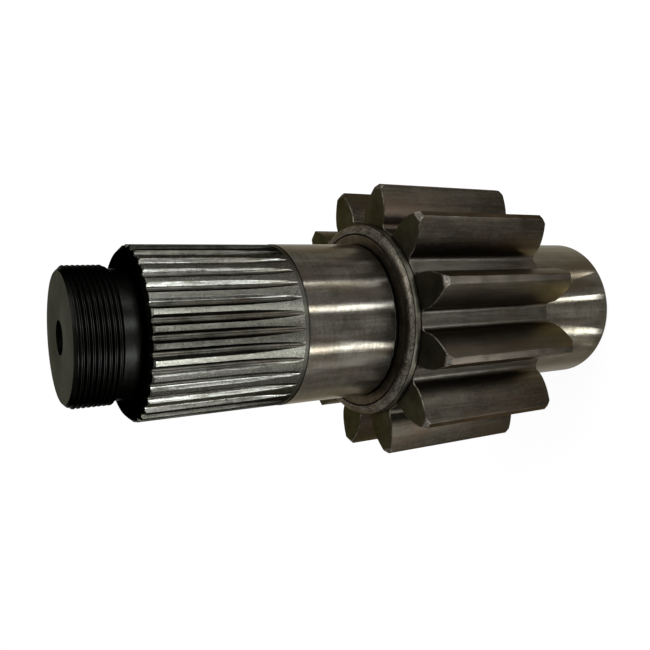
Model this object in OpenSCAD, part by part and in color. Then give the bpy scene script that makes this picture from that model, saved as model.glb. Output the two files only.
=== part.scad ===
// Integral pinion shaft: a straight spur pinion, two ground bearing seats, an involute
// spline and a locknut thread, turned and cut on one forging.
// It stands on the end face of its lower seat, with its axis along +Z, in millimetres.

/* [Lower seat] */
// Diameter of the lower bearing seat
lower_seat_d = 110; // [90:1:130]
// Length of the lower seat, from the end face to the pinion
lower_seat_length = 90; // [50:1:140]
// Chamfer round the lower end face
lower_chamfer = 3; // [1:0.5:6]
// Fillet between the lower seat and the end of the pinion
lower_fillet = 2; // [1:0.5:5]

/* [Pinion] */
// Number of teeth
tooth_count = 12; // [11:1:16]
// Module of the teeth
tooth_module = 14; // [12:0.5:16]
// Pressure angle of the teeth, in degrees
pressure_angle = 25; // [20:1:28]
// Height of the tooth tips above the pitch circle, in modules
tip_factor = 1.07; // [0.9:0.01:1.1]
// Depth of the root below the pitch circle, in modules
root_factor = 0.965; // [0.9:0.005:1.1]
// Face width of the teeth
face_width = 116.5; // [80:0.5:160]
// Fillet at the foot of each flank
root_fillet = 4; // [1:0.5:6]
// Turned chamfer at both ends of the tooth tips
tip_chamfer = 3; // [1:0.5:6]

/* [Collar] */
// Step from the root of the teeth down to the collar, where the cutter runs free
cutter_clearance = 0.5; // [0.2:0.1:3]
// Width of the collar between the pinion and the upper seat
collar_width = 7.5; // [4:0.5:16]
// Rounding of the collar rim
collar_rounding = 5.3; // [1:0.1:7]

/* [Upper seat] */
// Diameter of the upper bearing seat, which is also the spline's reference diameter
upper_seat_d = 110; // [100:1:120]
// Length of the upper seat with its relief groove
upper_seat_length = 68.5; // [40:1:100]
// Width of the relief groove at the collar
relief_width = 2.2; // [1:0.1:4]
// Depth of the relief groove in the seat
relief_depth = 0.6; // [0.2:0.1:1.5]
// Depth of the relief groove in the face of the collar
relief_undercut = 0.3; // [0.1:0.1:0.8]
// Length of the lead-in at the spline end of the seat
seat_lead = 0.8; // [0.4:0.2:3]

/* [Spline] */
// Module of the spline
spline_module = 3; // [2:0.5:4]
// Pressure angle of the spline, in degrees
spline_angle = 30; // [28:1:34]
// Length of the spline, from the seat to the neck
spline_length = 100; // [70:1:140]
// Length over which each groove runs out towards the seat
runout_length = 46; // [20:1:60]
// Plain band between the ends of the grooves and the seat
plain_band = 2.5; // [1:0.1:8]
// Chamfer at the start of the spline
spline_chamfer = 3.3; // [1:0.1:5]
// Radius at the bottom of the grooves, as a share of the one that would leave no flat floor
groove_rounding = 0.96; // [0.2:0.02:0.96]
// Turn of the first groove from the middle of a pinion tooth, in degrees
spline_turn = 7; // [0:0.5:10]

/* [Locknut thread] */
// Outer diameter of the thread
thread_d = 85; // [80:1:90]
// Length of the threaded end
thread_length = 25.5; // [20:0.5:50]
// Chamfer at the start of the thread
thread_chamfer = 3; // [2:0.5:5]
// Width of the neck below the thread
neck_width = 12; // [4:0.5:20]
// Depth of the neck below the outer diameter of the thread
neck_depth = 2.3; // [1.9:0.1:5]
// Fillet at the foot of the neck
neck_fillet = 0.8; // [0.3:0.1:1.5]

/* [Centre holes] */
// Rim diameter of the countersink in both end faces
centre_rim_d = 21; // [14:0.5:30]
// Diameter of the pilot hole
centre_pilot_d = 10; // [6:0.5:12]
// Depth of the pilot hole from the end face
centre_depth = 24; // [20:1:50]
// Included angle of the countersink, in degrees
centre_angle = 60; // [60:10:90]
// Included angle of the drill point at the bottom of the pilot hole, in degrees
point_angle = 120; // [110:2:140]

/* [Hidden] */
$fn = 96;

steel = [0.62, 0.61, 0.58];
// How far a cutter reaches past the face that it opens
over = 2;
// Least flat that the collar's rounding leaves on its rim and on its face
least_flat = 0.5;
// Straight steps of a turned fillet and of the collar's rounding
fillet_steps = 4;
rim_steps = 8;
// Straight steps of a pinion gap's floor, fillet and flank, each on one side
gap_steps = [3, 5, 12];
// The same for a spline groove, whose floor is flat between its two fillets
groove_steps = [0, 4, 3];
// Flat facets of the spline's blank to each groove
groove_facets = 4;
// Halvings in the search for the largest fillet of a groove
halvings = 20;
// Shares of the run-out at which a straight prism touches its curve
runout_shares = [0, 0.4, 0.75, 1];

// Heights above the lower end face
pinion_z = lower_seat_length;
collar_z = pinion_z + face_width;
seat_z = collar_z + collar_width;
spline_z = seat_z + upper_seat_length;
neck_z = spline_z + spline_length;
thread_z = neck_z + neck_width;
shaft_length = thread_z + thread_length;

// Radii of the seats, the pinion and the collar
lower_r = lower_seat_d / 2;
upper_r = upper_seat_d / 2;
pitch_r = tooth_module * tooth_count / 2;
base_r = pitch_r * cos(pressure_angle);
tip_r = pitch_r + tip_factor * tooth_module;
root_r = pitch_r - root_factor * tooth_module;
collar_r = root_r - cutter_clearance;
rim_round = min(collar_rounding, collar_width - least_flat, collar_r - upper_r - least_flat);

// Spline proportions in modules: crest, root and reference line against the reference diameter
crest_step = 0.2;
root_step = 2.2;
reference_step = 1.1;
nominal_shift = 0.28;
spline_count = round(upper_seat_d / spline_module - reference_step - 2 * nominal_shift);
spline_pitch_r = spline_module * spline_count / 2;
spline_shift = (upper_r - spline_pitch_r) - reference_step * spline_module / 2;
crest_r = upper_r - crest_step * spline_module / 2;
groove_r = upper_r - root_step * spline_module / 2;
spline_base_r = spline_pitch_r * cos(spline_angle);
groove_depth = crest_r - groove_r;

// Radius at the end of the seat's lead-in, and of the core inside the spline's blank
lead_r = (upper_r + crest_r) / 2;
core_r = groove_r - spline_chamfer;

// Radius of the cutter that leaves the run-out, and where its middle stands
runout_r = (pow(runout_length, 2) + pow(groove_depth, 2)) / (2 * groove_depth);
groove_end_z = spline_z + plain_band;
runout_z = groove_end_z + runout_length;
groove_reach = neck_z - groove_end_z + over;
groove_open_by = groove_reach * runout_length / runout_r + over;

// Radii of the threaded end
thread_r = thread_d / 2;
neck_r = thread_r - neck_depth;

// Points of an arc about a centre, from one angle to another
function arc(c, r, from, to, steps) =
    [for (i = [0 : steps]) c + r * [cos(from + (to - from) * i / steps), sin(from + (to - from) * i / steps)]];

// Point at radius r and angle a
function polar(r, a) = [r * cos(a), r * sin(a)];

// Involute function of an angle, in degrees
function inv(a) = tan(a) * 180 / PI - a;

// Angle that an involute has turned between its base circle and radius r
function involute_turn(r, base) = inv(acos(min(1, base / r)));

// An outline that is given on one side of the X axis, closed by its mirror image
function both_sides(pts) = concat(
    [for (i = [len(pts) - 1 : -1 : pts[0][1] == 0 ? 1 : 0]) [pts[i][0], -pts[i][1]]],
    pts
);

// One side of a gap between two involute teeth, from the middle of its floor up the flank.
// half is the gap's half angle on the base circle. The fillet's centre lies on an involute
// of the same base circle, or beside a radial line where the floor is inside that circle.
// The outline ends open_by outside the tips. steps counts the straight steps of the floor,
// the fillet and the flank.
function gap_side(floor_r, fillet, base, half, top_r, open_by, steps) =
    let (
        c_r = floor_r + fillet,
        unrolled = sqrt(max(0, pow(c_r / base, 2) - 1)) - fillet / base,
        on_involute = unrolled > 0,
        turned = on_involute ? unrolled * 180 / PI : 0,
        c_a = on_involute ? half + turned - acos(base / c_r) : half - asin(fillet / c_r),
        start_r = on_involute ? base * sqrt(1 + pow(unrolled, 2)) : base,
        top_a = half + involute_turn(top_r, base)
    )
    concat(
        [for (i = [0 : 1 : steps[0] - 1]) polar(floor_r, c_a * i / steps[0])],
        arc(polar(c_r, c_a), fillet, 180 + c_a, 90 + half + turned, steps[1]),
        [for (i = [on_involute ? 1 : 0 : steps[2]])
            let (r = start_r + (top_r - start_r) * i / steps[2])
            polar(r, half + involute_turn(r, base))],
        [polar(top_r / cos(top_a) + open_by, top_a)]
    );

// Half angle of a pinion gap and of a spline groove on their base circles
pinion_gap_half = 90 / tooth_count - inv(pressure_angle);
spline_gap_half = 90 / spline_count - inv(spline_angle)
    - 2 * spline_shift * tan(spline_angle) / (2 * spline_pitch_r) * 180 / PI;

// Angle from the middle of a groove to the centre of a fillet that touches floor and flank
function fillet_angle(fillet) =
    let (
        c_r = groove_r + fillet,
        unrolled = sqrt(pow(c_r / spline_base_r, 2) - 1) - fillet / spline_base_r
    )
    spline_gap_half + unrolled * 180 / PI - acos(spline_base_r / c_r);

// Largest fillet between two limits whose centre is still beside the middle, by halving
function largest_fillet(low, high, tries) =
    let (mid = (low + high) / 2)
    tries == 0 ? low
        : fillet_angle(mid) > 0 ? largest_fillet(mid, high, tries - 1)
        : largest_fillet(low, mid, tries - 1);

groove_fillet = groove_rounding * largest_fillet(0, 2 * groove_depth, halvings);

module turned_profile() {
    polygon(concat(
        [[0, 0], [lower_r - lower_chamfer, 0], [lower_r, lower_chamfer]],
        arc([lower_r + lower_fillet, pinion_z - lower_fillet], lower_fillet, 180, 90, fillet_steps),
        [
            [tip_r - tip_chamfer, pinion_z],
            [tip_r, pinion_z + tip_chamfer],
            [tip_r, collar_z - tip_chamfer],
            [tip_r - tip_chamfer, collar_z],
            [collar_r, collar_z]
        ],
        arc([collar_r - rim_round, seat_z - rim_round], rim_round, 0, 90, rim_steps),
        [
            [upper_r + relief_undercut, seat_z],
            [upper_r - relief_depth, seat_z - relief_undercut],
            [upper_r - relief_depth, seat_z + relief_width / 2],
            [upper_r, seat_z + relief_width],
            [upper_r, spline_z - seat_lead],
            [lead_r, spline_z],
            [core_r, spline_z],
            [core_r, neck_z]
        ],
        arc([neck_r + neck_fillet, neck_z + neck_fillet], neck_fillet, 270, 180, fillet_steps),
        [
            [neck_r, thread_z - neck_depth],
            [thread_r, thread_z],
            [thread_r, shaft_length - thread_chamfer],
            [thread_r - thread_chamfer, shaft_length],
            [0, shaft_length]
        ]
    ));
}

// Blank of the splined length, with flat facets that follow the pitch of the grooves
module spline_blank() {
    facets = groove_facets * spline_count;
    intersection() {
        translate([0, 0, spline_z])
            rotate(spline_turn)
                linear_extrude(spline_length)
                    polygon([for (i = [0 : facets - 1]) polar(crest_r, (i + 0.5) * 360 / facets)]);
        rotate_extrude()
            polygon([
                [0, spline_z - over],
                [crest_r + over, spline_z - over],
                [crest_r + over, neck_z - spline_chamfer - over],
                [crest_r - spline_chamfer - over, neck_z + over],
                [0, neck_z + over]
            ]);
    }
}

module pinion_gaps() {
    outline = both_sides(gap_side(
        root_r, root_fillet, base_r, pinion_gap_half, tip_r, over, gap_steps
    ));
    for (i = [0 : tooth_count - 1])
        rotate((i + 0.5) * 360 / tooth_count)
            translate([0, 0, pinion_z - over])
                linear_extrude(face_width + over)
                    polygon(outline);
}

// Prism of a groove's outline whose floor touches the run-out at the given share of its
// length, where 0 is the straight part and 1 the end of the groove
module groove_prism(outline, share) {
    back = share * runout_length;
    rise = pow(back, 2) / (2 * runout_r);
    translate([groove_r + rise, 0, runout_z - back])
        rotate([0, -atan(back / runout_r), 0])
            translate([-groove_r, 0, -groove_reach])
                linear_extrude(2 * groove_reach)
                    polygon(outline);
}

// One groove at the +X side: straight from the neck, then rising out of the blank
module spline_groove(outline) {
    intersection_for (share = runout_shares)
        groove_prism(outline, share);
}

module spline_grooves() {
    outline = both_sides(gap_side(
        groove_r, groove_fillet, spline_base_r, spline_gap_half, crest_r, groove_open_by, groove_steps
    ));
    for (i = [0 : spline_count - 1])
        rotate(spline_turn + i * 360 / spline_count)
            spline_groove(outline);
}

module centre_hole() {
    rim_r = centre_rim_d / 2;
    pilot_r = centre_pilot_d / 2;
    half = tan(centre_angle / 2);
    cone_depth = (rim_r - pilot_r) / half;
    rotate_extrude()
        polygon([
            [0, over],
            [rim_r + over * half, over],
            [pilot_r, -cone_depth],
            [pilot_r, -centre_depth],
            [0, -centre_depth - pilot_r / tan(point_angle / 2)]
        ]);
}

module pinion_shaft() {
    color(steel)
        difference() {
            union() {
                rotate_extrude()
                    turned_profile();
                difference() {
                    spline_blank();
                    spline_grooves();
                }
            }
            pinion_gaps();
            translate([0, 0, shaft_length])
                centre_hole();
            rotate([180, 0, 0])
                centre_hole();
        }
}

pinion_shaft();
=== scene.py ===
import bpy
import bmesh
from math import acos, asin, atan2, cos, hypot, pi, radians, sin, sqrt, tan
from mathutils import Matrix, Vector


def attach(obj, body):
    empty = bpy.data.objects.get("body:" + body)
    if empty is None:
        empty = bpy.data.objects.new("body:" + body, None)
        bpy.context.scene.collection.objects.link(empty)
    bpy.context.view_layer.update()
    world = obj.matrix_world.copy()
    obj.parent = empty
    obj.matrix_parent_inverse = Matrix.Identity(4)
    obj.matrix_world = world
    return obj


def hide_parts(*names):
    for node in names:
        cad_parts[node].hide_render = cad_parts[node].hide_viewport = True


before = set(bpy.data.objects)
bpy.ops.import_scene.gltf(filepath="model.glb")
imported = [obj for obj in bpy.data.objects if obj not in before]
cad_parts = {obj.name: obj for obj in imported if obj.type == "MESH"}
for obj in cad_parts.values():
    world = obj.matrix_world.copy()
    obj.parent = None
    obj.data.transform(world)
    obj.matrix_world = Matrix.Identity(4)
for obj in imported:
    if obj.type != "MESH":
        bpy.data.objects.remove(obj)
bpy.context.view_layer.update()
print("frame loaded")

# The shaft stands on its lower seat, with its axis along +Z. Its sizes are in millimetres and
# degrees, as in the CAD, and become metres where a vertex is made.
mm = 0.001

# Each zone of the surface has a finish of its own
zones = [
    "groundSeat", "turnedCollar", "collarRim", "collarFace", "darkLine", "toothFlank", "toothRoot",
    "toothTip", "tipChamfer", "toothEnd", "endBreak", "splineCrest", "splineGrooveLit", "splineFloor",
    "plainBand", "blackEnd", "paintedShadeBlack", "blackThread", "lowerEnd",
]


def polar(radius, angle):
    return (radius * cos(angle), radius * sin(angle))


def between(a, b, share):
    return (a[0] + (b[0] - a[0]) * share, a[1] + (b[1] - a[1]) * share)


def arc(x, y, radius, start, stop, steps):
    angles = [radians(start + (stop - start) * i / steps) for i in range(steps + 1)]
    return [(x + radius * cos(angle), y + radius * sin(angle)) for angle in angles]


def involute(angle):
    return tan(angle) - angle


# How far a flank has turned from its start on the base circle
def involuteTurn(radius, base):
    return involute(acos(min(1.0, base / radius)))


# Points from the middle of a gap's floor, round the fillet and up the flank to topR. steps gives
# the number of steps on floor, fillet and flank.
def gapSide(floorR, fillet, base, halfGap, topR, steps):
    centreR = floorR + fillet
    unrolled = sqrt(max(0.0, (centreR / base) ** 2 - 1)) - fillet / base
    if unrolled > 0:  # the fillet ends on the involute
        turn = unrolled
        startR = base * sqrt(1 + unrolled ** 2)
        centreAngle = halfGap + turn - acos(base / centreR)
    else:  # it ends on a radial line under the base circle
        turn = 0.0
        startR = base
        centreAngle = halfGap - asin(fillet / centreR)
    x, y = polar(centreR, centreAngle)
    side = [polar(floorR, centreAngle * i / steps[0]) for i in range(steps[0])]
    first, last = pi + centreAngle, pi / 2 + halfGap + turn
    for i in range(steps[1] + 1):
        angle = first + (last - first) * i / steps[1]
        side.append((x + fillet * cos(angle), y + fillet * sin(angle)))
    for i in range(1, steps[2] + 1):
        radius = startR + (topR - startR) * i / steps[2]
        side.append(polar(radius, halfGap + involuteTurn(radius, base)))
    return side


# A closed ring of teeth from one side of a gap: the mirrored side, the side and then the land,
# which starts a landBreak away from the side's end
def toothRing(side, count, landR, landBreak, landSteps, turn):
    first = asin(side[-1][1] / hypot(*side[-1])) + landBreak / landR
    last = 2 * pi / count - first
    outline = [(x, -y) for x, y in reversed(side[1:])] + side
    outline += [polar(landR, first + (last - first) * i / landSteps) for i in range(landSteps + 1)]
    ring = []
    for k in range(count):
        ahead, aside = polar(1, turn + 2 * pi * k / count)
        ring += [(x * ahead - y * aside, x * aside + y * ahead) for x, y in outline]
    return ring


# The ring moved into the metal by a distance, but not nearer to the axis than a limit
def inset(ring, distance, limit, sharpest=0.5):
    moved = []
    for i, (x, y) in enumerate(ring):
        lastX, lastY = ring[i - 1]
        nextX, nextY = ring[(i + 1) % len(ring)]
        arriving = Vector((x - lastX, y - lastY)).normalized()
        leaving = Vector((nextX - x, nextY - y)).normalized()
        inwards = Vector((-arriving.y, arriving.x))
        middle = (inwards + Vector((-leaving.y, leaving.x))).normalized()
        point = Vector((x, y)) + middle * (distance / max(sharpest, middle.dot(inwards)))
        if point.length < limit:
            point = point * (limit / point.length)
        moved.append((point.x, point.y))
    return moved


# A turned outline from corners of radius, height and rounding. The first and last stay sharp.
def softened(corners, steps=3, mostOfSide=0.4):
    outline = []
    for i, (r, z, rounding) in enumerate(corners):
        if i in (0, len(corners) - 1):
            outline.append((r, z))
            continue
        corner = Vector((r, z))
        back = Vector(corners[i - 1][:2]) - corner
        onward = Vector(corners[i + 1][:2]) - corner
        reach = min(rounding / tan(back.angle(onward) / 2),
                    mostOfSide * back.length, mostOfSide * onward.length)
        start, stop = back.normalized() * reach, onward.normalized() * reach
        for k in range(steps + 1):
            point = corner + start * (1 - k / steps) ** 2 + stop * (k / steps) ** 2
            outline.append((point.x, point.y))
    return outline


turned = {
    "seatR": 55.0,
    "endChamfer": 3.0,
    "pinionZ": 90.0,
    "collarZ": 206.5,
    "seatZ": 214.0,
    "splineZ": 282.5,
    "neckZ": 382.5,
    "threadZ": 394.5,
    "topZ": 420.0,
    "lowerFillet": 2.0,
    "collarR": 69.99,
    "collarRound": 5.3,
    "reliefWidth": 2.2,
    "reliefDepth": 0.6,
    "reliefUndercut": 0.3,
    "reliefLip": (0.12, 0.2),  # depth and height of the slope that ends the relief
    "seatBreak": 0.5,  # bright edge of the seat beside the relief
    "seatLead": 0.8,
    "leadR": 54.85,
    "lineDepth": 0.2,
    "footLine": (0.7, 1.0),  # height of a line's floor, and with its slope
    "rimLineAngle": 29.0,
    "rimLine": (1.0, 3.0),  # half of a line's floor, and with its slope, in degrees
    "faceLineR": 62.5,
    "faceLine": (0.3, 0.6),
    "neckR": 40.2,
    "neckFillet": 0.8,
    "neckStep": 3.0,
    "centreRimR": 10.5,
    "centreAngle": 60.0,
    "centrePilotR": 5.0,
    "centreDepth": 24.0,
    "pointAngle": 120.0,
    "edgeRound": 0.35,
    "coneRound": 0.3,
    "pilotRound": 0.1,
    "columns": 160,
}

bm = bmesh.new()
flatFace = bm.faces.layers.int.new("flatFace")


def ringVerts(points, z):
    return [bm.verts.new((x * mm, y * mm, z * mm)) for x, y in points]


def ringEdges(ring):
    return [bm.edges.get(pair) or bm.edges.new(pair) for pair in zip(ring, ring[1:] + ring[:1])]


# Faces between two rings. The zone is a name, or a function of the column's number.
def band(lower, upper, zone):
    columns = {edge: i for i, edge in enumerate(ringEdges(lower))}
    made = bmesh.ops.bridge_loops(bm, edges=list(columns) + ringEdges(upper))
    for face in made["faces"]:
        column = next(columns[edge] for edge in face.edges if edge in columns)
        face.material_index = zones.index(zone if isinstance(zone, str) else zone(column))


def flatAnnulus(outer, inner, zone):
    made = bmesh.ops.triangle_fill(bm, edges=ringEdges(outer) + ringEdges(inner), use_beauty=True)
    for face in made["geom"]:
        if isinstance(face, bmesh.types.BMFace):
            face.material_index = zones.index(zone)
            face[flatFace] = 1


# An outline of radius and height, spun round the axis in a mesh of its own and then joined on
def spun(outline, **climb):
    blank = bmesh.new()
    chain = [blank.verts.new((r * mm, 0, z * mm)) for r, z in outline]
    edges = [blank.edges.new(pair) for pair in zip(chain, chain[1:])]
    bmesh.ops.spin(blank, geom=chain + edges, cent=(0, 0, 0), axis=(0, 0, 1), angle=2 * pi,
                   steps=turned["columns"], use_merge=not climb, **climb)
    joined = bpy.data.meshes.new("spun")
    blank.to_mesh(joined)
    blank.free()
    before = set(bm.faces)
    bm.from_mesh(joined)
    bpy.data.meshes.remove(joined)
    return [face for face in bm.faces if face not in before]


# A turned stretch with a zone for each step of its outline. Returns its first and last ring.
def lathe(outline, stepZones, touching=0.001):
    middles = [between(a, b, 0.5) for a, b in zip(outline, outline[1:])]
    ends = {outline[0]: set(), outline[-1]: set()}
    for face in spun(outline):
        x, y, z = face.calc_center_median() / mm
        away = [hypot(middleR - hypot(x, y), middleZ - z) for middleR, middleZ in middles]
        face.material_index = zones.index(stepZones[away.index(min(away))])
        for vert in face.verts:
            x, y, z = vert.co / mm
            for end, ring in ends.items():
                if hypot(hypot(x, y) - end[0], z - end[1]) < touching:
                    ring.add(vert)
    return [sorted(ring, key=lambda vert: atan2(vert.co.y, vert.co.x)) for ring in ends.values()]


# Corners of a centre hole, from its rim to the drill's point, as radius, depth and rounding
coneDepth = (turned["centreRimR"] - turned["centrePilotR"]) / tan(radians(turned["centreAngle"] / 2))
pointDepth = turned["centreDepth"] + turned["centrePilotR"] / tan(radians(turned["pointAngle"] / 2))
centreHole = [
    (turned["centreRimR"], 0, turned["edgeRound"]),
    (turned["centrePilotR"], coneDepth, turned["coneRound"]),
    (turned["centrePilotR"], turned["centreDepth"], turned["pilotRound"]),
    (0, pointDepth, 0),
]

# Lower centre hole, end face, seat and the fillet under the pinion
seatR = turned["seatR"]
filletZ = turned["pinionZ"] - turned["lowerFillet"]
lowerOutline = softened(centreHole[::-1] + [
    (seatR - turned["endChamfer"], 0, turned["edgeRound"]),
    (seatR, turned["endChamfer"], turned["edgeRound"]),
    (seatR, filletZ, 0),
])
lowerOutline += arc(seatR + turned["lowerFillet"], filletZ, turned["lowerFillet"], 180, 90, 5)[1:]


def lowerZone(r, z):
    if z < turned["endChamfer"] - turned["edgeRound"] or r < turned["centreRimR"]:
        return "lowerEnd"
    return "groundSeat" if z < filletZ else "toothEnd"


footRing = lathe(lowerOutline, [lowerZone(*start) for start in lowerOutline[:-1]])[1]
print("lower seat turned")

pinion = {
    "teeth": 12,
    "module": 14.0,
    "pressureAngle": 25.0,
    "tipR": 98.98,
    "rootR": 70.49,
    "fillet": 4.0,
    "tipChamfer": 3.0,
    "tipBreak": 0.45,
    "endBreak": 0.5,
    "endClear": 0.12,  # how far the broken end stays outside the collar
    "steps": (3, 6, 14),  # on a gap's floor, fillet and flank
    "landSteps": 4,
    "rootShare": 3,  # steps of the fillet that look as the floor does
    "faceRings": (30, 60, 90),  # heights of the plain rings over the pinion's foot
}
pitchR = pinion["module"] * pinion["teeth"] / 2
baseR = pitchR * cos(radians(pinion["pressureAngle"]))
pinionHalfGap = pi / 2 / pinion["teeth"] - involute(radians(pinion["pressureAngle"]))


def pinionRing(topR):
    side = gapSide(pinion["rootR"], pinion["fillet"], baseR, pinionHalfGap,
                   topR - pinion["tipBreak"], pinion["steps"])
    return toothRing(side, pinion["teeth"], topR, pinion["tipBreak"], pinion["landSteps"],
                     pi / pinion["teeth"])


# One ring of teeth for each level, with the turned tip chamfers between the outer ones. A level is
# a height, a tip radius and how far the ring is inset.
low, high, tipR = turned["pinionZ"], turned["collarZ"], pinion["tipR"]
cut, chamfer = pinion["endBreak"], pinion["tipChamfer"]
levels = [(low, tipR - chamfer, cut), (low + cut, tipR - chamfer + cut, 0), (low + chamfer, tipR, 0)]
levels += [(low + rise, tipR, 0) for rise in pinion["faceRings"]]
levels += [(high - chamfer, tipR, 0), (high - cut, tipR - chamfer + cut, 0), (high, tipR - chamfer, cut)]
toothRings = []
for z, topR, distance in levels:
    points = pinionRing(topR)
    if distance:
        points = inset(points, distance, turned["collarR"] + pinion["endClear"])
    toothRings.append(ringVerts(points, z))
perTooth = len(toothRings[0]) // pinion["teeth"]
landFrom = perTooth - pinion["landSteps"] - 2  # one more on each side for the broken corners


def toothZone(column):
    place = column % perTooth
    if place >= landFrom:
        return "toothTip"
    fromMiddle = abs(place + 0.5 - landFrom // 2)
    return "toothRoot" if fromMiddle < pinion["steps"][0] + pinion["rootShare"] else "toothFlank"


def chamferZone(column):
    return "tipChamfer" if toothZone(column) == "toothTip" else toothZone(column)


endZones = ["endBreak", chamferZone]
plainBands = len(levels) - 1 - 2 * len(endZones)
bandZones = endZones + [toothZone] * plainBands + endZones[::-1]
for lower, upper, zone in zip(toothRings, toothRings[1:], bandZones):
    band(lower, upper, zone)
flatAnnulus(toothRings[0], footRing, "toothEnd")
print("pinion cut")

# Collar with its turned lines, relief groove and upper seat, one stretch for each zone
seatZ, faceR, dent = turned["seatZ"], turned["faceLineR"], turned["lineDepth"]
collarR, collarZ, collarRound = turned["collarR"], turned["collarZ"], turned["collarRound"]
roundR, roundZ = collarR - collarRound, seatZ - collarRound
reliefR, reliefTopZ = seatR - turned["reliefDepth"], seatZ + turned["reliefWidth"]
lipDepth, lipHeight = turned["reliefLip"]
footFlat, footEdge = turned["footLine"]
faceFlat, faceEdge = turned["faceLine"]
lineAt = turned["rimLineAngle"]
rimFlat, rimEdge = turned["rimLine"]


def onRim(angle, depth=0.0):
    return arc(roundR, roundZ, collarRound - depth, angle, angle, 1)[0]


stretches = [
    ("darkLine", [(collarR - dent, collarZ), (collarR - dent, collarZ + footFlat),
                  (collarR, collarZ + footEdge)]),
    ("collarRim", arc(roundR, roundZ, collarRound, 0, lineAt - rimEdge, 4)),
    ("darkLine", [onRim(lineAt - rimFlat, dent), onRim(lineAt + rimFlat, dent), onRim(lineAt + rimEdge)]),
    ("turnedCollar", arc(roundR, roundZ, collarRound, lineAt + rimEdge, 90, 9)[1:]
     + [(faceR + faceEdge, seatZ)]),
    ("darkLine", [(faceR + faceFlat, seatZ - dent), (faceR - faceFlat, seatZ - dent),
                  (faceR - faceEdge, seatZ)]),
    ("collarFace", [(seatR + turned["reliefUndercut"], seatZ)]),
    # The relief groove is painted near black, as painted shade in it.
    ("darkLine", [(reliefR, seatZ - turned["reliefUndercut"]), (reliefR, seatZ + turned["reliefWidth"] / 2),
                  (seatR - lipDepth, reliefTopZ - lipHeight)]),
    ("endBreak", [(seatR, reliefTopZ), (seatR, reliefTopZ + turned["seatBreak"])]),
    ("groundSeat", [(seatR, turned["splineZ"] - turned["seatLead"])]),
    ("darkLine", [(turned["leadR"], turned["splineZ"])]),
]
collarOutline, collarZones = stretches[0][1][:1], []
for zone, points in stretches:
    fresh = [point for point in points if point != collarOutline[-1]]
    collarOutline += fresh
    collarZones += [zone] * len(fresh)
collarRing, leadRing = lathe(collarOutline, collarZones)
flatAnnulus(toothRings[-1], collarRing, "toothEnd")
print("collar and upper seat turned")

spline = {
    "teeth": 35,
    "turn": 7.0,
    "crestR": 54.7,
    "grooveR": 51.7,
    "module": 3.0,
    "angle": 30.0,
    "shift": 0.85,
    "fillet": 2.4,
    "runout": 46.0,
    "plainBand": 2.5,
    "chamfer": 3.3,
    "steps": (1, 14, 12),  # on a groove's floor, fillet and flank
    "overCrest": 0.5,  # how far the groove's side goes on above the crest, before it is cut off
    "flush": 0.02,  # a groove less deep than this is left out
    "sidePoints": 11,
    "landSteps": 3,
    "landBreak": 0.12,
    "bandStep": 0.3,  # the last plain ring lies this far before the first groove
    "runoutSteps": (0.35, 0.8, 1.5, 2.5, 4, 6, 8.5, 11.5, 15, 19, 24, 30, 38),
    "straightSteps": (15, 32),
    "chamferSteps": (1.1, 2.2, 2.95),  # the painted shade starts at the first
    "floorShare": 4,  # steps from a groove's middle that look as its floor does
    "flankTurn": 57.4,  # between a groove and the way its flanks face
    "litSideAt": -107.0,  # flanks are painted bright round this side, as a painted highlight
    "litFlankReach": 42.0,
    "litGrooveReach": 54.0,
}
splinePitchR = spline["module"] * spline["teeth"] / 2
splineBaseR = splinePitchR * cos(radians(spline["angle"]))
splineHalfGap = (pi / 2 / spline["teeth"] - involute(radians(spline["angle"]))
                 - spline["shift"] * tan(radians(spline["angle"])) / splinePitchR)
grooveDepth = spline["crestR"] - spline["grooveR"]
cutterR = (spline["runout"] ** 2 + grooveDepth ** 2) / (2 * grooveDepth)
grooveEndZ = turned["splineZ"] + spline["plainBand"]
fullZ = grooveEndZ + spline["runout"]
chamferZ = turned["neckZ"] - spline["chamfer"]
fineSide = gapSide(spline["grooveR"], spline["fillet"], splineBaseR, splineHalfGap,
                   spline["crestR"] + spline["overCrest"], spline["steps"])


# The groove's side inside a circle of radius topR, after it has risen, at even steps
def grooveSide(rise, topR, count):
    risen = [(x + rise, y) for x, y in fineSide]
    kept = risen[:1]
    for a, b in zip(risen, risen[1:]):
        if hypot(*b) >= topR:
            kept.append(between(a, b, (topR - hypot(*a)) / (hypot(*b) - hypot(*a))))
            break
        kept.append(b)
    lengths = [0.0]
    for a, b in zip(kept, kept[1:]):
        lengths.append(lengths[-1] + hypot(b[0] - a[0], b[1] - a[1]))
    side = []
    k = 0
    for i in range(count):
        wanted = lengths[-1] * i / (count - 1)
        while k < len(kept) - 2 and lengths[k + 1] < wanted:
            k += 1
        span = lengths[k + 1] - lengths[k]
        side.append(between(kept[k], kept[k + 1], (wanted - lengths[k]) / span if span else 0.0))
    return side


# The groove's outline rises out of the blank along the cutter's arc. Where it has left the blank,
# or the chamfer is deeper, the ring is a plain circle with as many points.
def splineRing(z):
    back = min(max(fullZ - z, 0.0), spline["runout"])
    rise = cutterR - sqrt(cutterR ** 2 - back ** 2)
    topR = spline["crestR"] - max(0.0, z - chamferZ)
    highest = topR - spline["flush"] - spline["grooveR"]
    side = grooveSide(min(rise, highest), topR, spline["sidePoints"])
    ring = toothRing(side, spline["teeth"], topR, spline["landBreak"], spline["landSteps"],
                     radians(spline["turn"]))
    return ring if rise <= highest else [polar(topR, atan2(y, x)) for x, y in ring]


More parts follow.
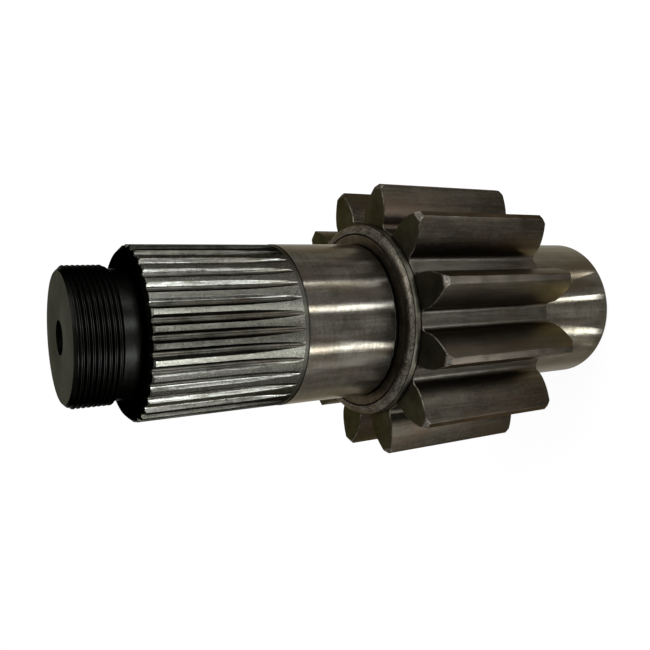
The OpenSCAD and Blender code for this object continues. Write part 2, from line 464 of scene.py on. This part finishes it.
stations = [turned["splineZ"], grooveEndZ - spline["bandStep"], grooveEndZ]
stations += [grooveEndZ + step for step in spline["runoutSteps"]] + [fullZ]
stations += [fullZ + step for step in spline["straightSteps"]] + [chamferZ]
stations += [chamferZ + step for step in spline["chamferSteps"]] + [turned["neckZ"]]
splineRings = [ringVerts(splineRing(z), z) for z in stations]
perSpline = len(splineRings[0]) // spline["teeth"]
crestFrom = perSpline - spline["landSteps"] - 2


def angleApart(a, b):
    return abs((a - b + 180) % 360 - 180)


# Flanks that face round the given side, on grooves near it, get the bright groove finish, a painted
# highlight. The other flanks and the floors get the dark floor finish.
def splineZone(column):
    place = column % perSpline
    if place >= crestFrom:
        return "splineCrest"
    fromMiddle = place + 0.5 - crestFrom // 2
    groove = spline["turn"] + 360 / spline["teeth"] * (column // perSpline)
    facing = groove + spline["flankTurn"] if fromMiddle < 0 else groove - spline["flankTurn"]
    onLitSide = (angleApart(facing, spline["litSideAt"]) < spline["litFlankReach"]
              and angleApart(groove, spline["litSideAt"]) < spline["litGrooveReach"])
    return "splineGrooveLit" if onLitSide and abs(fromMiddle) > spline["floorShare"] else "splineFloor"


# From the chamfer's first step up, the spline is painted near black, as painted shade on the chamfer and
# the shoulder.
paintedShadeFromZ = chamferZ + spline["chamferSteps"][0]
for lower, upper, z in zip(splineRings, splineRings[1:], stations):
    zone = "plainBand" if z < grooveEndZ else "paintedShadeBlack" if z >= paintedShadeFromZ else splineZone
    band(lower, upper, zone)
flatAnnulus(leadRing, splineRings[0], "plainBand")
print("spline cut")

thread = {
    "outerR": 42.5,
    "rootR": 40.66,
    "pitch": 3.0,
    "chamfer": 3.0,
    "profile": (  # shares of the pitch and of the depth
        (0.0, 0.0), (0.0625, 0.0), (0.125, 0.0), (0.243, 0.333), (0.361, 0.667), (0.455, 0.94),
        (0.505, 1.0), (0.5625, 1.0), (0.62, 1.0), (0.67, 0.94), (0.764, 0.667), (0.882, 0.333),
    ),
    "endReach": 0.01,  # rows this near to an end of the thread are drawn to it
}

# Neck
neckR, neckFillet, neckZ, topZ = turned["neckR"], turned["neckFillet"], turned["neckZ"], turned["topZ"]
neckTopZ = turned["threadZ"] - (thread["outerR"] - neckR)
neckOutline = arc(neckR + neckFillet, neckZ + neckFillet, neckFillet, 270, 180, 4)
# The neck's fillet is painted near black, as painted shade under the shoulder.
neckZones = ["paintedShadeBlack"] * (len(neckOutline) - 1) + ["blackThread"] * 2
neckOutline += [(neckR, neckZ + turned["neckStep"]), (neckR, neckTopZ)]
neckRing = lathe(neckOutline, neckZones)[0]
flatAnnulus(splineRings[-1], neckRing, "paintedShadeBlack")


# Thread: rows of vertices that climb with the helix, cut off by the blank
def blankR(z):
    rising = neckR + (z - neckTopZ)
    falling = thread["outerR"] - (z - (topZ - thread["chamfer"]))
    return min(thread["outerR"], rising, falling)


rows = []
winding = int(neckTopZ // thread["pitch"]) - 1
while winding * thread["pitch"] < topZ + thread["pitch"]:
    for along, down in thread["profile"]:
        radius = thread["outerR"] - down * (thread["outerR"] - thread["rootR"])
        rows.append((radius, (winding + along) * thread["pitch"]))
    winding += 1
threadVerts = set()
for face in spun(rows, dvec=(0, 0, thread["pitch"] * mm / turned["columns"])):
    face.material_index = zones.index("blackThread")
    threadVerts.update(face.verts)
for vert in threadVerts:
    x, y, z = vert.co
    if z / mm < neckTopZ + thread["endReach"]:
        z = neckTopZ * mm
    elif z / mm > topZ - thread["endReach"]:
        z = topZ * mm
    radius = hypot(x, y) / mm
    share = min(radius, blankR(z / mm)) / radius
    vert.co = (x * share, y * share, z)

# Upper end face and centre hole
topOutline = softened([(thread["outerR"] - thread["chamfer"], topZ, 0)]
                      + [(r, topZ - depth, rounding) for r, depth, rounding in centreHole])
# The centre hole is painted near black, as painted shade inside it.
topZones = ["blackEnd" if r > turned["centreRimR"] else "paintedShadeBlack" for r, z in topOutline[:-1]]
lathe(topOutline, topZones)
print("thread cut")

# The pieces of the mesh merged into one closed piece, smooth but for its real edges
joining = {"mergeWithin": 2e-6, "shortest": 1e-7, "sharpFrom": 26.0}
bmesh.ops.remove_doubles(bm, verts=bm.verts, dist=joining["mergeWithin"])
bmesh.ops.dissolve_degenerate(bm, edges=bm.edges, dist=joining["shortest"])
bmesh.ops.recalc_face_normals(bm, faces=bm.faces)
for face in bm.faces:
    face.smooth = True
openEdges = 0
for edge in bm.edges:
    if len(edge.link_faces) != 2:
        openEdges += 1
        continue
    a, b = edge.link_faces
    gentle = a.normal.angle(b.normal, 0) < radians(joining["sharpFrom"])
    edge.smooth = a[flatFace] == b[flatFace] and gentle
print("open edges:", openEdges, "faces:", len(bm.faces))


def sceneObject(name, data):
    made = bpy.data.objects.new(name, data)
    bpy.context.scene.collection.objects.link(made)
    return made


mesh = bpy.data.meshes.new("pinionShaft")
bm.to_mesh(mesh)
bm.free()
shaft = sceneObject("pinionShaft", mesh)
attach(shaft, "root")
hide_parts("pinion_shaft")

# Finishes. Colours are linear. rough is the shader's roughness, aniso its anisotropy and the turn
# of it, and edge its reflection at a low angle. patch is a size in millimetres and a share of the
# tone. around, along, slant and grain are marks for each millimetre, their height in the bump and
# their share of the tone. fleck is marks for each millimetre and the noise from and to which they
# show.
finishes = {
    "groundSeat": dict(
        dark=(0.034, 0.0305, 0.0235), light=(0.086, 0.079, 0.066), stain=(0.04, 0.031, 0.0215),
        stained=0.85, rough=0.225, aniso=(1.0, 0.25), patch=(16, 0.3), around=(0.8, 0.0, 0.2),
        along=(0.09, 0.0, 0.7), grain=(0.5, 0.1, 0.2), edge=(0.72, 0.67, 0.58), bump=0.012),
    "turnedCollar": dict(
        dark=(0.024, 0.0215, 0.0165), light=(0.11, 0.101, 0.083), stain=(0.05, 0.037, 0.027),
        stained=0.4, rough=0.36, patch=(9, 0.4), around=(1.6, 0.5, 0.2), slant=(0.7, 0.15, 0.7),
        grain=(0.6, 0.4, 0.2), edge=(0.5, 0.46, 0.4), bump=0.35),
    "collarRim": dict(
        dark=(0.024, 0.0215, 0.016), light=(0.06, 0.055, 0.042), stain=(0.03, 0.022, 0.016),
        stained=0.5, rough=0.45, patch=(9, 0.5), around=(1.6, 0.4, 0.3), grain=(0.6, 0.4, 0.3),
        edge=(0.42, 0.38, 0.31), bump=0.25),
    "collarFace": dict(
        dark=(0.0225, 0.0188, 0.0131), light=(0.0562, 0.048, 0.0356), stain=(0.0375, 0.0263, 0.0188),
        stained=0.5, rough=0.45, patch=(7, 0.5), around=(0.9, 0.4, 0.4), grain=(0.6, 0.4, 0.3),
        edge=(0.8, 0.7, 0.55), bump=0.2),
    "darkLine": dict(
        dark=(0.004, 0.0038, 0.003), light=(0.01, 0.0095, 0.008), rough=0.5, patch=(9, 0.5),
        grain=(0.8, 0.4, 0.5), edge=(0.2, 0.2, 0.2), bump=0.1),
    "toothFlank": dict(
        dark=(0.0128, 0.0108, 0.008), light=(0.0272, 0.0234, 0.0175), stain=(0.025, 0.016, 0.0105),
        stained=0.6, rough=0.42, patch=(24, 0.35), along=(0.8, 0.4, 0.45), grain=(0.4, 0.4, 0.35),
        edge=(0.6, 0.55, 0.47), bump=0.25),
    "toothRoot": dict(
        dark=(0.0194, 0.0172, 0.0136), light=(0.0378, 0.0343, 0.0277), stain=(0.034, 0.025, 0.018),
        stained=0.4, rough=0.4, patch=(16, 0.4), along=(0.9, 0.5, 0.5), grain=(0.5, 0.3, 0.2),
        edge=(0.7, 0.64, 0.55), bump=0.2),
    "toothTip": dict(
        dark=(0.0144, 0.0122, 0.0095), light=(0.0343, 0.0291, 0.0233), stain=(0.048, 0.034, 0.027),
        stained=0.5, rough=0.42, patch=(12, 0.4), around=(0.9, 0.2, 0.15), along=(0.7, 0.3, 0.4),
        grain=(0.9, 0.5, 0.3), edge=(0.5, 0.45, 0.38), bump=0.2),
    "tipChamfer": dict(
        dark=(0.0462, 0.0422, 0.0347), light=(0.1503, 0.1399, 0.1202), stain=(0.05, 0.037, 0.029),
        stained=0.4, rough=0.42, patch=(5, 0.5), around=(0.9, 0.2, 0.15), along=(0.7, 0.3, 0.6),
        grain=(0.9, 0.5, 0.4), edge=(0.3, 0.28, 0.24), bump=0.2),
    "toothEnd": dict(
        dark=(0.0138, 0.0132, 0.0084), light=(0.0311, 0.0292, 0.0189), stain=(0.016, 0.012, 0.008),
        stained=0.4, rough=0.5, patch=(14, 0.5), around=(0.8, 0.3, 0.2), grain=(0.6, 0.4, 0.3),
        edge=(0.6, 0.56, 0.42), bump=0.12),
    "endBreak": dict(
        dark=(0.018, 0.0155, 0.0115), light=(0.075, 0.067, 0.054), rough=0.4, patch=(6, 1.1),
        grain=(1.1, 0.6, 0.6), edge=(0.7, 0.65, 0.55), bump=0.2),
    "splineCrest": dict(
        dark=(0.0293, 0.0275, 0.0219), light=(0.053, 0.0508, 0.0418), stain=(0.0306, 0.0281, 0.0202),
        stained=0.4, rough=0.3, patch=(12, 0.35), along=(0.5, 0.3, 0.3), grain=(1.0, 1.0, 0.45),
        fleck=(1.3, 0.56, 1.0), edge=(0.14, 0.135, 0.12), bump=0.2),
    # Painted highlight: the bright groove flanks on one side of the spline
    "splineGrooveLit": dict(
        dark=(0.0443, 0.042, 0.0339), light=(0.155, 0.1506, 0.1328), stain=(0.08, 0.07, 0.052),
        stained=0.5, rough=0.3, patch=(10, 0.4), along=(0.9, 0.3, 0.9), grain=(0.9, 0.5, 0.3),
        edge=(0.5, 0.48, 0.43), bump=0.2),
    "splineFloor": dict(
        dark=(0.0061, 0.0056, 0.0043), light=(0.0224, 0.0211, 0.0172), stain=(0.02, 0.0155, 0.011),
        stained=0.5, rough=0.3, patch=(10, 0.4), along=(0.8, 0.3, 0.6), grain=(0.9, 0.5, 0.3),
        edge=(0.4, 0.38, 0.33), bump=0.12),
    "plainBand": dict(
        dark=(0.0138, 0.0131, 0.0105), light=(0.0275, 0.0264, 0.0218), stain=(0.045, 0.0387, 0.0288),
        stained=0.4, rough=0.45, patch=(7, 0.4), around=(1.5, 0.3, 0.2), grain=(1.1, 0.7, 0.5),
        edge=(0.5, 0.48, 0.43), bump=0.25),
    "blackEnd": dict(
        dark=(0.032, 0.0322, 0.0262), light=(0.056, 0.0563, 0.047), rough=0.45, patch=(16, 0.4),
        around=(0.9, 0.3, 0.3), grain=(0.6, 0.3, 0.3), edge=(0.36, 0.36, 0.33), bump=0.1),
    # Painted shade: near black, on the spline's chamfer and shoulder, the neck's fillet and the upper
    # centre hole
    "paintedShadeBlack": dict(
        dark=(0.0003, 0.0003, 0.0002), light=(0.001, 0.001, 0.0008), rough=0.45, patch=(9, 0.5),
        grain=(0.9, 0.4, 0.4), edge=(0.02, 0.02, 0.02), bump=0.15),
    "blackThread": dict(
        dark=(0.0036, 0.0035, 0.0031), light=(0.0077, 0.0077, 0.0068), rough=0.36, patch=(12, 0.5),
        around=(0.9, 0.2, 0.3), grain=(0.8, 0.3, 0.3), edge=(0.25, 0.25, 0.24), bump=0.08),
    "lowerEnd": dict(
        dark=(0.045, 0.041, 0.033), light=(0.085, 0.079, 0.066), stain=(0.05, 0.036, 0.026),
        stained=0.4, rough=0.42, patch=(15, 0.5), around=(1.2, 0.4, 0.3), grain=(0.6, 0.3, 0.2),
        edge=(0.8, 0.76, 0.68), bump=0.15),
}

# What all finishes share
marks = {
    "noise": {  # detail and roughness of each kind
        "patch": (3, 0.6), "grain": (4, 0.6), "around": (3, 0.7), "along": (4, 0.65),
        "slant": (3, 0.7), "stain": (3, 0.6), "fleck": (2, 0.6),
    },
    "noiseRange": (0.3, 0.7),
    "radiusShare": 1.7,  # of the radius in a ring mark's place, for flat and turned faces alike
    "wander": 2.5,  # how far ring marks change on their way round
    "alongStretch": 0.05,
    "slantTurn": 0.02,  # radians for each millimetre of height
    "stainSize": 19,
    "stainStretch": 0.25,
    "stainRange": (0.48, 0.66),
    "fleckTone": (0.26, 0.252, 0.222),
    "roughVaries": 0.04,
    "seatRoughVaries": 0.01,
    "bumpDistance": 0.0004,
}


class Net:
    def __init__(self, name):
        self.material = bpy.data.materials.new(name)
        self.material.use_nodes = True
        self.tree = self.material.node_tree
        self.shader = self.tree.nodes["Principled BSDF"]

    def add(self, kind, **props):
        made = self.tree.nodes.new(kind)
        for key, value in props.items():
            setattr(made, key, value)
        return made

    def feed(self, socket, value):
        if hasattr(value, "is_output"):
            self.tree.links.new(value, socket)
        else:
            socket.default_value = value

    def math(self, operation, a, b=0.0, clamp=False):
        made = self.add("ShaderNodeMath", operation=operation, use_clamp=clamp)
        self.feed(made.inputs[0], a)
        self.feed(made.inputs[1], b)
        return made.outputs[0]

    def vector(self, operation, a, b=(0, 0, 0)):
        made = self.add("ShaderNodeVectorMath", operation=operation)
        self.feed(made.inputs[0], a)
        self.feed(made.inputs[1], b)
        return made.outputs["Value" if operation == "LENGTH" else "Vector"]

    def noise(self, kind, vector, scale):
        made = self.add("ShaderNodeTexNoise")
        self.feed(made.inputs["Vector"], vector)
        made.inputs["Scale"].default_value = scale
        made.inputs["Detail"].default_value = marks["noise"][kind][0]
        made.inputs["Roughness"].default_value = marks["noise"][kind][1]
        return made.outputs["Fac"]

    def mix(self, share, a, b):
        made = self.add("ShaderNodeMix", data_type="RGBA")  # its colours are sockets 6 and 7
        self.feed(made.inputs[0], share)
        self.feed(made.inputs[6], a if hasattr(a, "is_output") else (*a, 1))
        self.feed(made.inputs[7], b if hasattr(b, "is_output") else (*b, 1))
        return made.outputs[2]

    def spread(self, value, fromRange, toRange):
        made = self.add("ShaderNodeMapRange")
        self.feed(made.inputs["Value"], value)
        made.inputs["From Min"].default_value = fromRange[0]
        made.inputs["From Max"].default_value = fromRange[1]
        made.inputs["To Min"].default_value = toRange[0]
        made.inputs["To Max"].default_value = toRange[1]
        return made.outputs["Result"]


# Marks of one kind: their share is added to the tone and their height to the bump
def addMarks(net, sums, noise, height, share):
    sums["tone"] = net.math("ADD", sums["tone"], net.spread(noise, marks["noiseRange"], (-share, share)))
    if height:
        sums["height"] = net.math("ADD", sums["height"], net.math("MULTIPLY", noise, height))


def finish(name, look):
    net = Net(name)
    coordinates = net.add("ShaderNodeTexCoord").outputs["Object"]
    place = net.vector("MULTIPLY", coordinates, (1 / mm, 1 / mm, 1 / mm))
    flat = net.vector("MULTIPLY", place, (1, 1, 0))
    split = net.add("ShaderNodeSeparateXYZ")
    net.feed(split.inputs[0], place)
    sums = {"tone": 0.5, "height": 0.0}
    patchSize, patchShare = look["patch"]
    addMarks(net, sums, net.noise("patch", place, 1 / patchSize), 0, patchShare)
    grainScale, grainHeight, grainShare = look["grain"]
    grain = net.noise("grain", place, grainScale)
    addMarks(net, sums, grain, grainHeight, grainShare)
    if "around" in look:
        scale, height, share = look["around"]
        outwards = net.math("MULTIPLY", net.vector("LENGTH", flat), marks["radiusShare"])
        join = net.add("ShaderNodeCombineXYZ")
        net.feed(join.inputs[2], net.math("ADD", split.outputs["Z"], outwards))
        wander = net.vector("MULTIPLY", net.vector("NORMALIZE", flat), (marks["wander"],) * 3)
        ring = net.vector("ADD", wander, join.outputs[0])
        addMarks(net, sums, net.noise("around", ring, scale), height, share)
    if "along" in look:
        scale, height, share = look["along"]
        stretched = net.vector("MULTIPLY", place, (1, 1, marks["alongStretch"]))
        addMarks(net, sums, net.noise("along", stretched, scale), height, share)
    if "slant" in look:
        scale, height, share = look["slant"]
        twisted = net.add("ShaderNodeVectorRotate", rotation_type="Z_AXIS")
        net.feed(twisted.inputs["Vector"], flat)
        net.feed(twisted.inputs["Angle"], net.math("MULTIPLY", split.outputs["Z"], marks["slantTurn"]))
        addMarks(net, sums, net.noise("slant", twisted.outputs[0], scale), height, share)
    colour = net.mix(net.math("ADD", sums["tone"], 0.0, clamp=True), look["dark"], look["light"])
    if "stain" in look:
        drawn = net.vector("MULTIPLY", place, (1, 1, marks["stainStretch"]))
        stains = net.noise("stain", drawn, 1 / marks["stainSize"])
        stained = net.spread(stains, marks["stainRange"], (0, look["stained"]))
        colour = net.mix(stained, colour, look["stain"])
    if "fleck" in look:
        flecks = net.noise("fleck", place, look["fleck"][0])
        flecked = net.spread(flecks, look["fleck"][1:], (0, 1))
        colour = net.mix(flecked, colour, marks["fleckTone"])
    shader = net.shader
    net.feed(shader.inputs["Base Color"], colour)
    shader.inputs["Metallic"].default_value = 1.0
    shader.inputs["Specular Tint"].default_value = (*look["edge"], 1)
    varies = marks["seatRoughVaries"] if "aniso" in look else marks["roughVaries"]
    roughness = net.spread(grain, marks["noiseRange"], (look["rough"] - varies, look["rough"] + varies))
    net.feed(shader.inputs["Roughness"], roughness)
    if "aniso" in look:
        shader.inputs["Anisotropic"].default_value = look["aniso"][0]
        shader.inputs["Anisotropic Rotation"].default_value = look["aniso"][1]
        tangent = net.add("ShaderNodeTangent", direction_type="RADIAL", axis="Z")
        net.feed(shader.inputs["Tangent"], tangent.outputs[0])
    bump = net.add("ShaderNodeBump")
    bump.inputs["Strength"].default_value = look["bump"]
    bump.inputs["Distance"].default_value = marks["bumpDistance"]
    net.feed(bump.inputs["Height"], sums["height"])
    net.feed(shader.inputs["Normal"], bump.outputs[0])
    return net.material


for zone in zones:
    mesh.materials.append(finish(zone, finishes[zone]))
print("finishes made")


# Where a camera or lamp stands, with its own right, up and back
def standing(place, right, up, back):
    return Matrix.Translation(place) @ Matrix((right, up, back)).transposed().to_4x4()


# Camera, from the photograph's own perspective
camera = {
    "place": (-0.0952123, -0.4294751, 0.4992869),
    "right": (-0.16895319, -0.48375942, -0.85873841),
    "down": (-0.96871829, 0.24218043, 0.05416198),
    "lens": 39.595,
    "sensor": 36.0,
    "clip": (0.01, 500.0),
}
right, down = Vector(camera["right"]), Vector(camera["down"])
cameraData = bpy.data.cameras.new("camera")
cameraData.lens = camera["lens"]
cameraData.sensor_width = camera["sensor"]
cameraData.clip_start, cameraData.clip_end = camera["clip"]
cameraObject = sceneObject("camera", cameraData)
cameraObject.matrix_world = standing(camera["place"], right, -down, -right.cross(down))
bpy.context.scene.camera = cameraObject


# 1 for a ray from the camera or from a shiny surface, and 0 for one of soft light
def seenOrMirrored(tree):
    path = tree.nodes.new("ShaderNodeLightPath")
    seen = path.outputs["Is Camera Ray"]
    for kind in ("Is Glossy Ray", "Is Transmission Ray"):
        either = tree.nodes.new("ShaderNodeMath")
        either.operation = "MAXIMUM"
        tree.links.new(seen, either.inputs[0])
        tree.links.new(path.outputs[kind], either.inputs[1])
        seen = either.outputs[0]
    return seen


# Floor: white to the camera and in reflections, with a soft shadow left on it
floorLook = {"half": 120.0, "glow": 0.93, "shade": 0.14, "bounce": 0.8}
floorSquare = bmesh.new()
bmesh.ops.create_grid(floorSquare, x_segments=1, y_segments=1, size=floorLook["half"])
floorMesh = bpy.data.meshes.new("floor")
floorSquare.to_mesh(floorMesh)
floorSquare.free()
floor = sceneObject("floor", floorMesh)
floorNet = Net("floorWhite")
floorNet.tree.nodes.remove(floorNet.shader)
bounce = floorNet.add("ShaderNodeBsdfDiffuse")
bounce.inputs["Color"].default_value = (floorLook["bounce"],) * 3 + (1,)
shade = floorNet.add("ShaderNodeBsdfDiffuse")
shade.inputs["Color"].default_value = (floorLook["shade"],) * 3 + (1,)
glow = floorNet.add("ShaderNodeEmission")
glow.inputs["Strength"].default_value = floorLook["glow"]
white = floorNet.add("ShaderNodeAddShader")
floorNet.feed(white.inputs[0], shade.outputs[0])
floorNet.feed(white.inputs[1], glow.outputs[0])
choose = floorNet.add("ShaderNodeMixShader")
floorNet.feed(choose.inputs[0], seenOrMirrored(floorNet.tree))
floorNet.feed(choose.inputs[1], bounce.outputs[0])
floorNet.feed(choose.inputs[2], white.outputs[0])
floorNet.feed(floorNet.tree.nodes["Material Output"].inputs["Surface"], choose.outputs[0])
floorMesh.materials.append(floorNet.material)

# World: plain white to the camera and in reflections, a plain level for soft light
worldLook = {"soft": 0.5, "seen": 1.0}
world = bpy.data.worlds.new("studio")
bpy.context.scene.world = world
world.use_nodes = True
worldTree = world.node_tree
background = worldTree.nodes["Background"]
background.inputs["Color"].default_value = (1, 1, 1, 1)
level = worldTree.nodes.new("ShaderNodeMapRange")
level.inputs["To Min"].default_value = worldLook["soft"]
level.inputs["To Max"].default_value = worldLook["seen"]
worldTree.links.new(seenOrMirrored(worldTree), level.inputs["Value"])
worldTree.links.new(level.outputs["Result"], background.inputs["Strength"])

# Long narrow lights on the table, one line for each bright streak on the seats. A line starts
# beside the seat where the seat faces a given angle, and runs the way the camera's view is thrown
# there. lines has the angles for its near and its far part, a radiance and a spread in radians.
# parts has where a light starts and stops, in metres, how much wider it is and its share of the
# radiance: the first serves the lower seat, the second the upper seat and the third the spline.
strips = {
    "lines": (
        (-74.0, -77.4, 26.0, 0.03), (-95.5, -94.3, 27.0, 0.085), (-124.3, -120.4, 30.0, 0.095),
        (-107.0, -107.0, 0.6, 0.3), (-131.0, -130.0, 1.6, 0.3),
    ),
    "parts": ((0.008, 0.05, 2.2, 1.15), (0.18, 0.8, 1.0, 1.0), (0.8, 1.7, 1.3, 2.7)),
    "colour": (0.89, 0.955, 1.0),
    "height": 0.002,
    "climb": 0.12,
}
for near, far, radiance, spread in strips["lines"]:
    for facing, (start, stop, wider, share) in zip((near, far, far), strips["parts"]):
        foot = Vector(polar(seatR * mm, radians(facing)))
        toCamera = Vector(camera["place"][:2]) - foot
        way = Vector(polar(1, 2 * radians(facing) - atan2(toCamera.y, toCamera.x)))
        centre = foot + way * (start + stop) / 2
        rise = strips["height"] + strips["climb"] * (start + stop) / 2
        strip = bpy.data.lights.new("strip", "AREA")
        strip.shape = "RECTANGLE"
        strip.size = spread * wider * (start + stop) / 2
        strip.size_y = (stop - start) * sqrt(1 + strips["climb"] ** 2)
        strip.energy = pi * radiance * strip.size * strip.size_y * share
        strip.color = strips["colour"]
        along = Vector((way.x, way.y, strips["climb"])).normalized()
        side = along.cross(Vector((0, 0, 1))).normalized()
        lamp = sceneObject("strip", strip)
        lamp.matrix_world = standing((centre.x, centre.y, rise), -side, along, along.cross(side))
        lamp.visible_camera = False

# One soft key light above
softKey = {"place": (0.9, -0.9, 1.9), "size": 1.6, "energy": 28.0}
keyData = bpy.data.lights.new("softKey", "AREA")
keyData.shape = "DISK"
keyData.size = softKey["size"]
keyData.energy = softKey["energy"]
keyObject = sceneObject("softKey", keyData)
keyObject.location = softKey["place"]
keyObject.rotation_euler = keyObject.location.to_track_quat("Z", "Y").to_euler()
keyObject.visible_camera = False
bpy.context.scene.view_settings.view_transform = "Standard"
print("camera and lights placed")

print("scene ready")
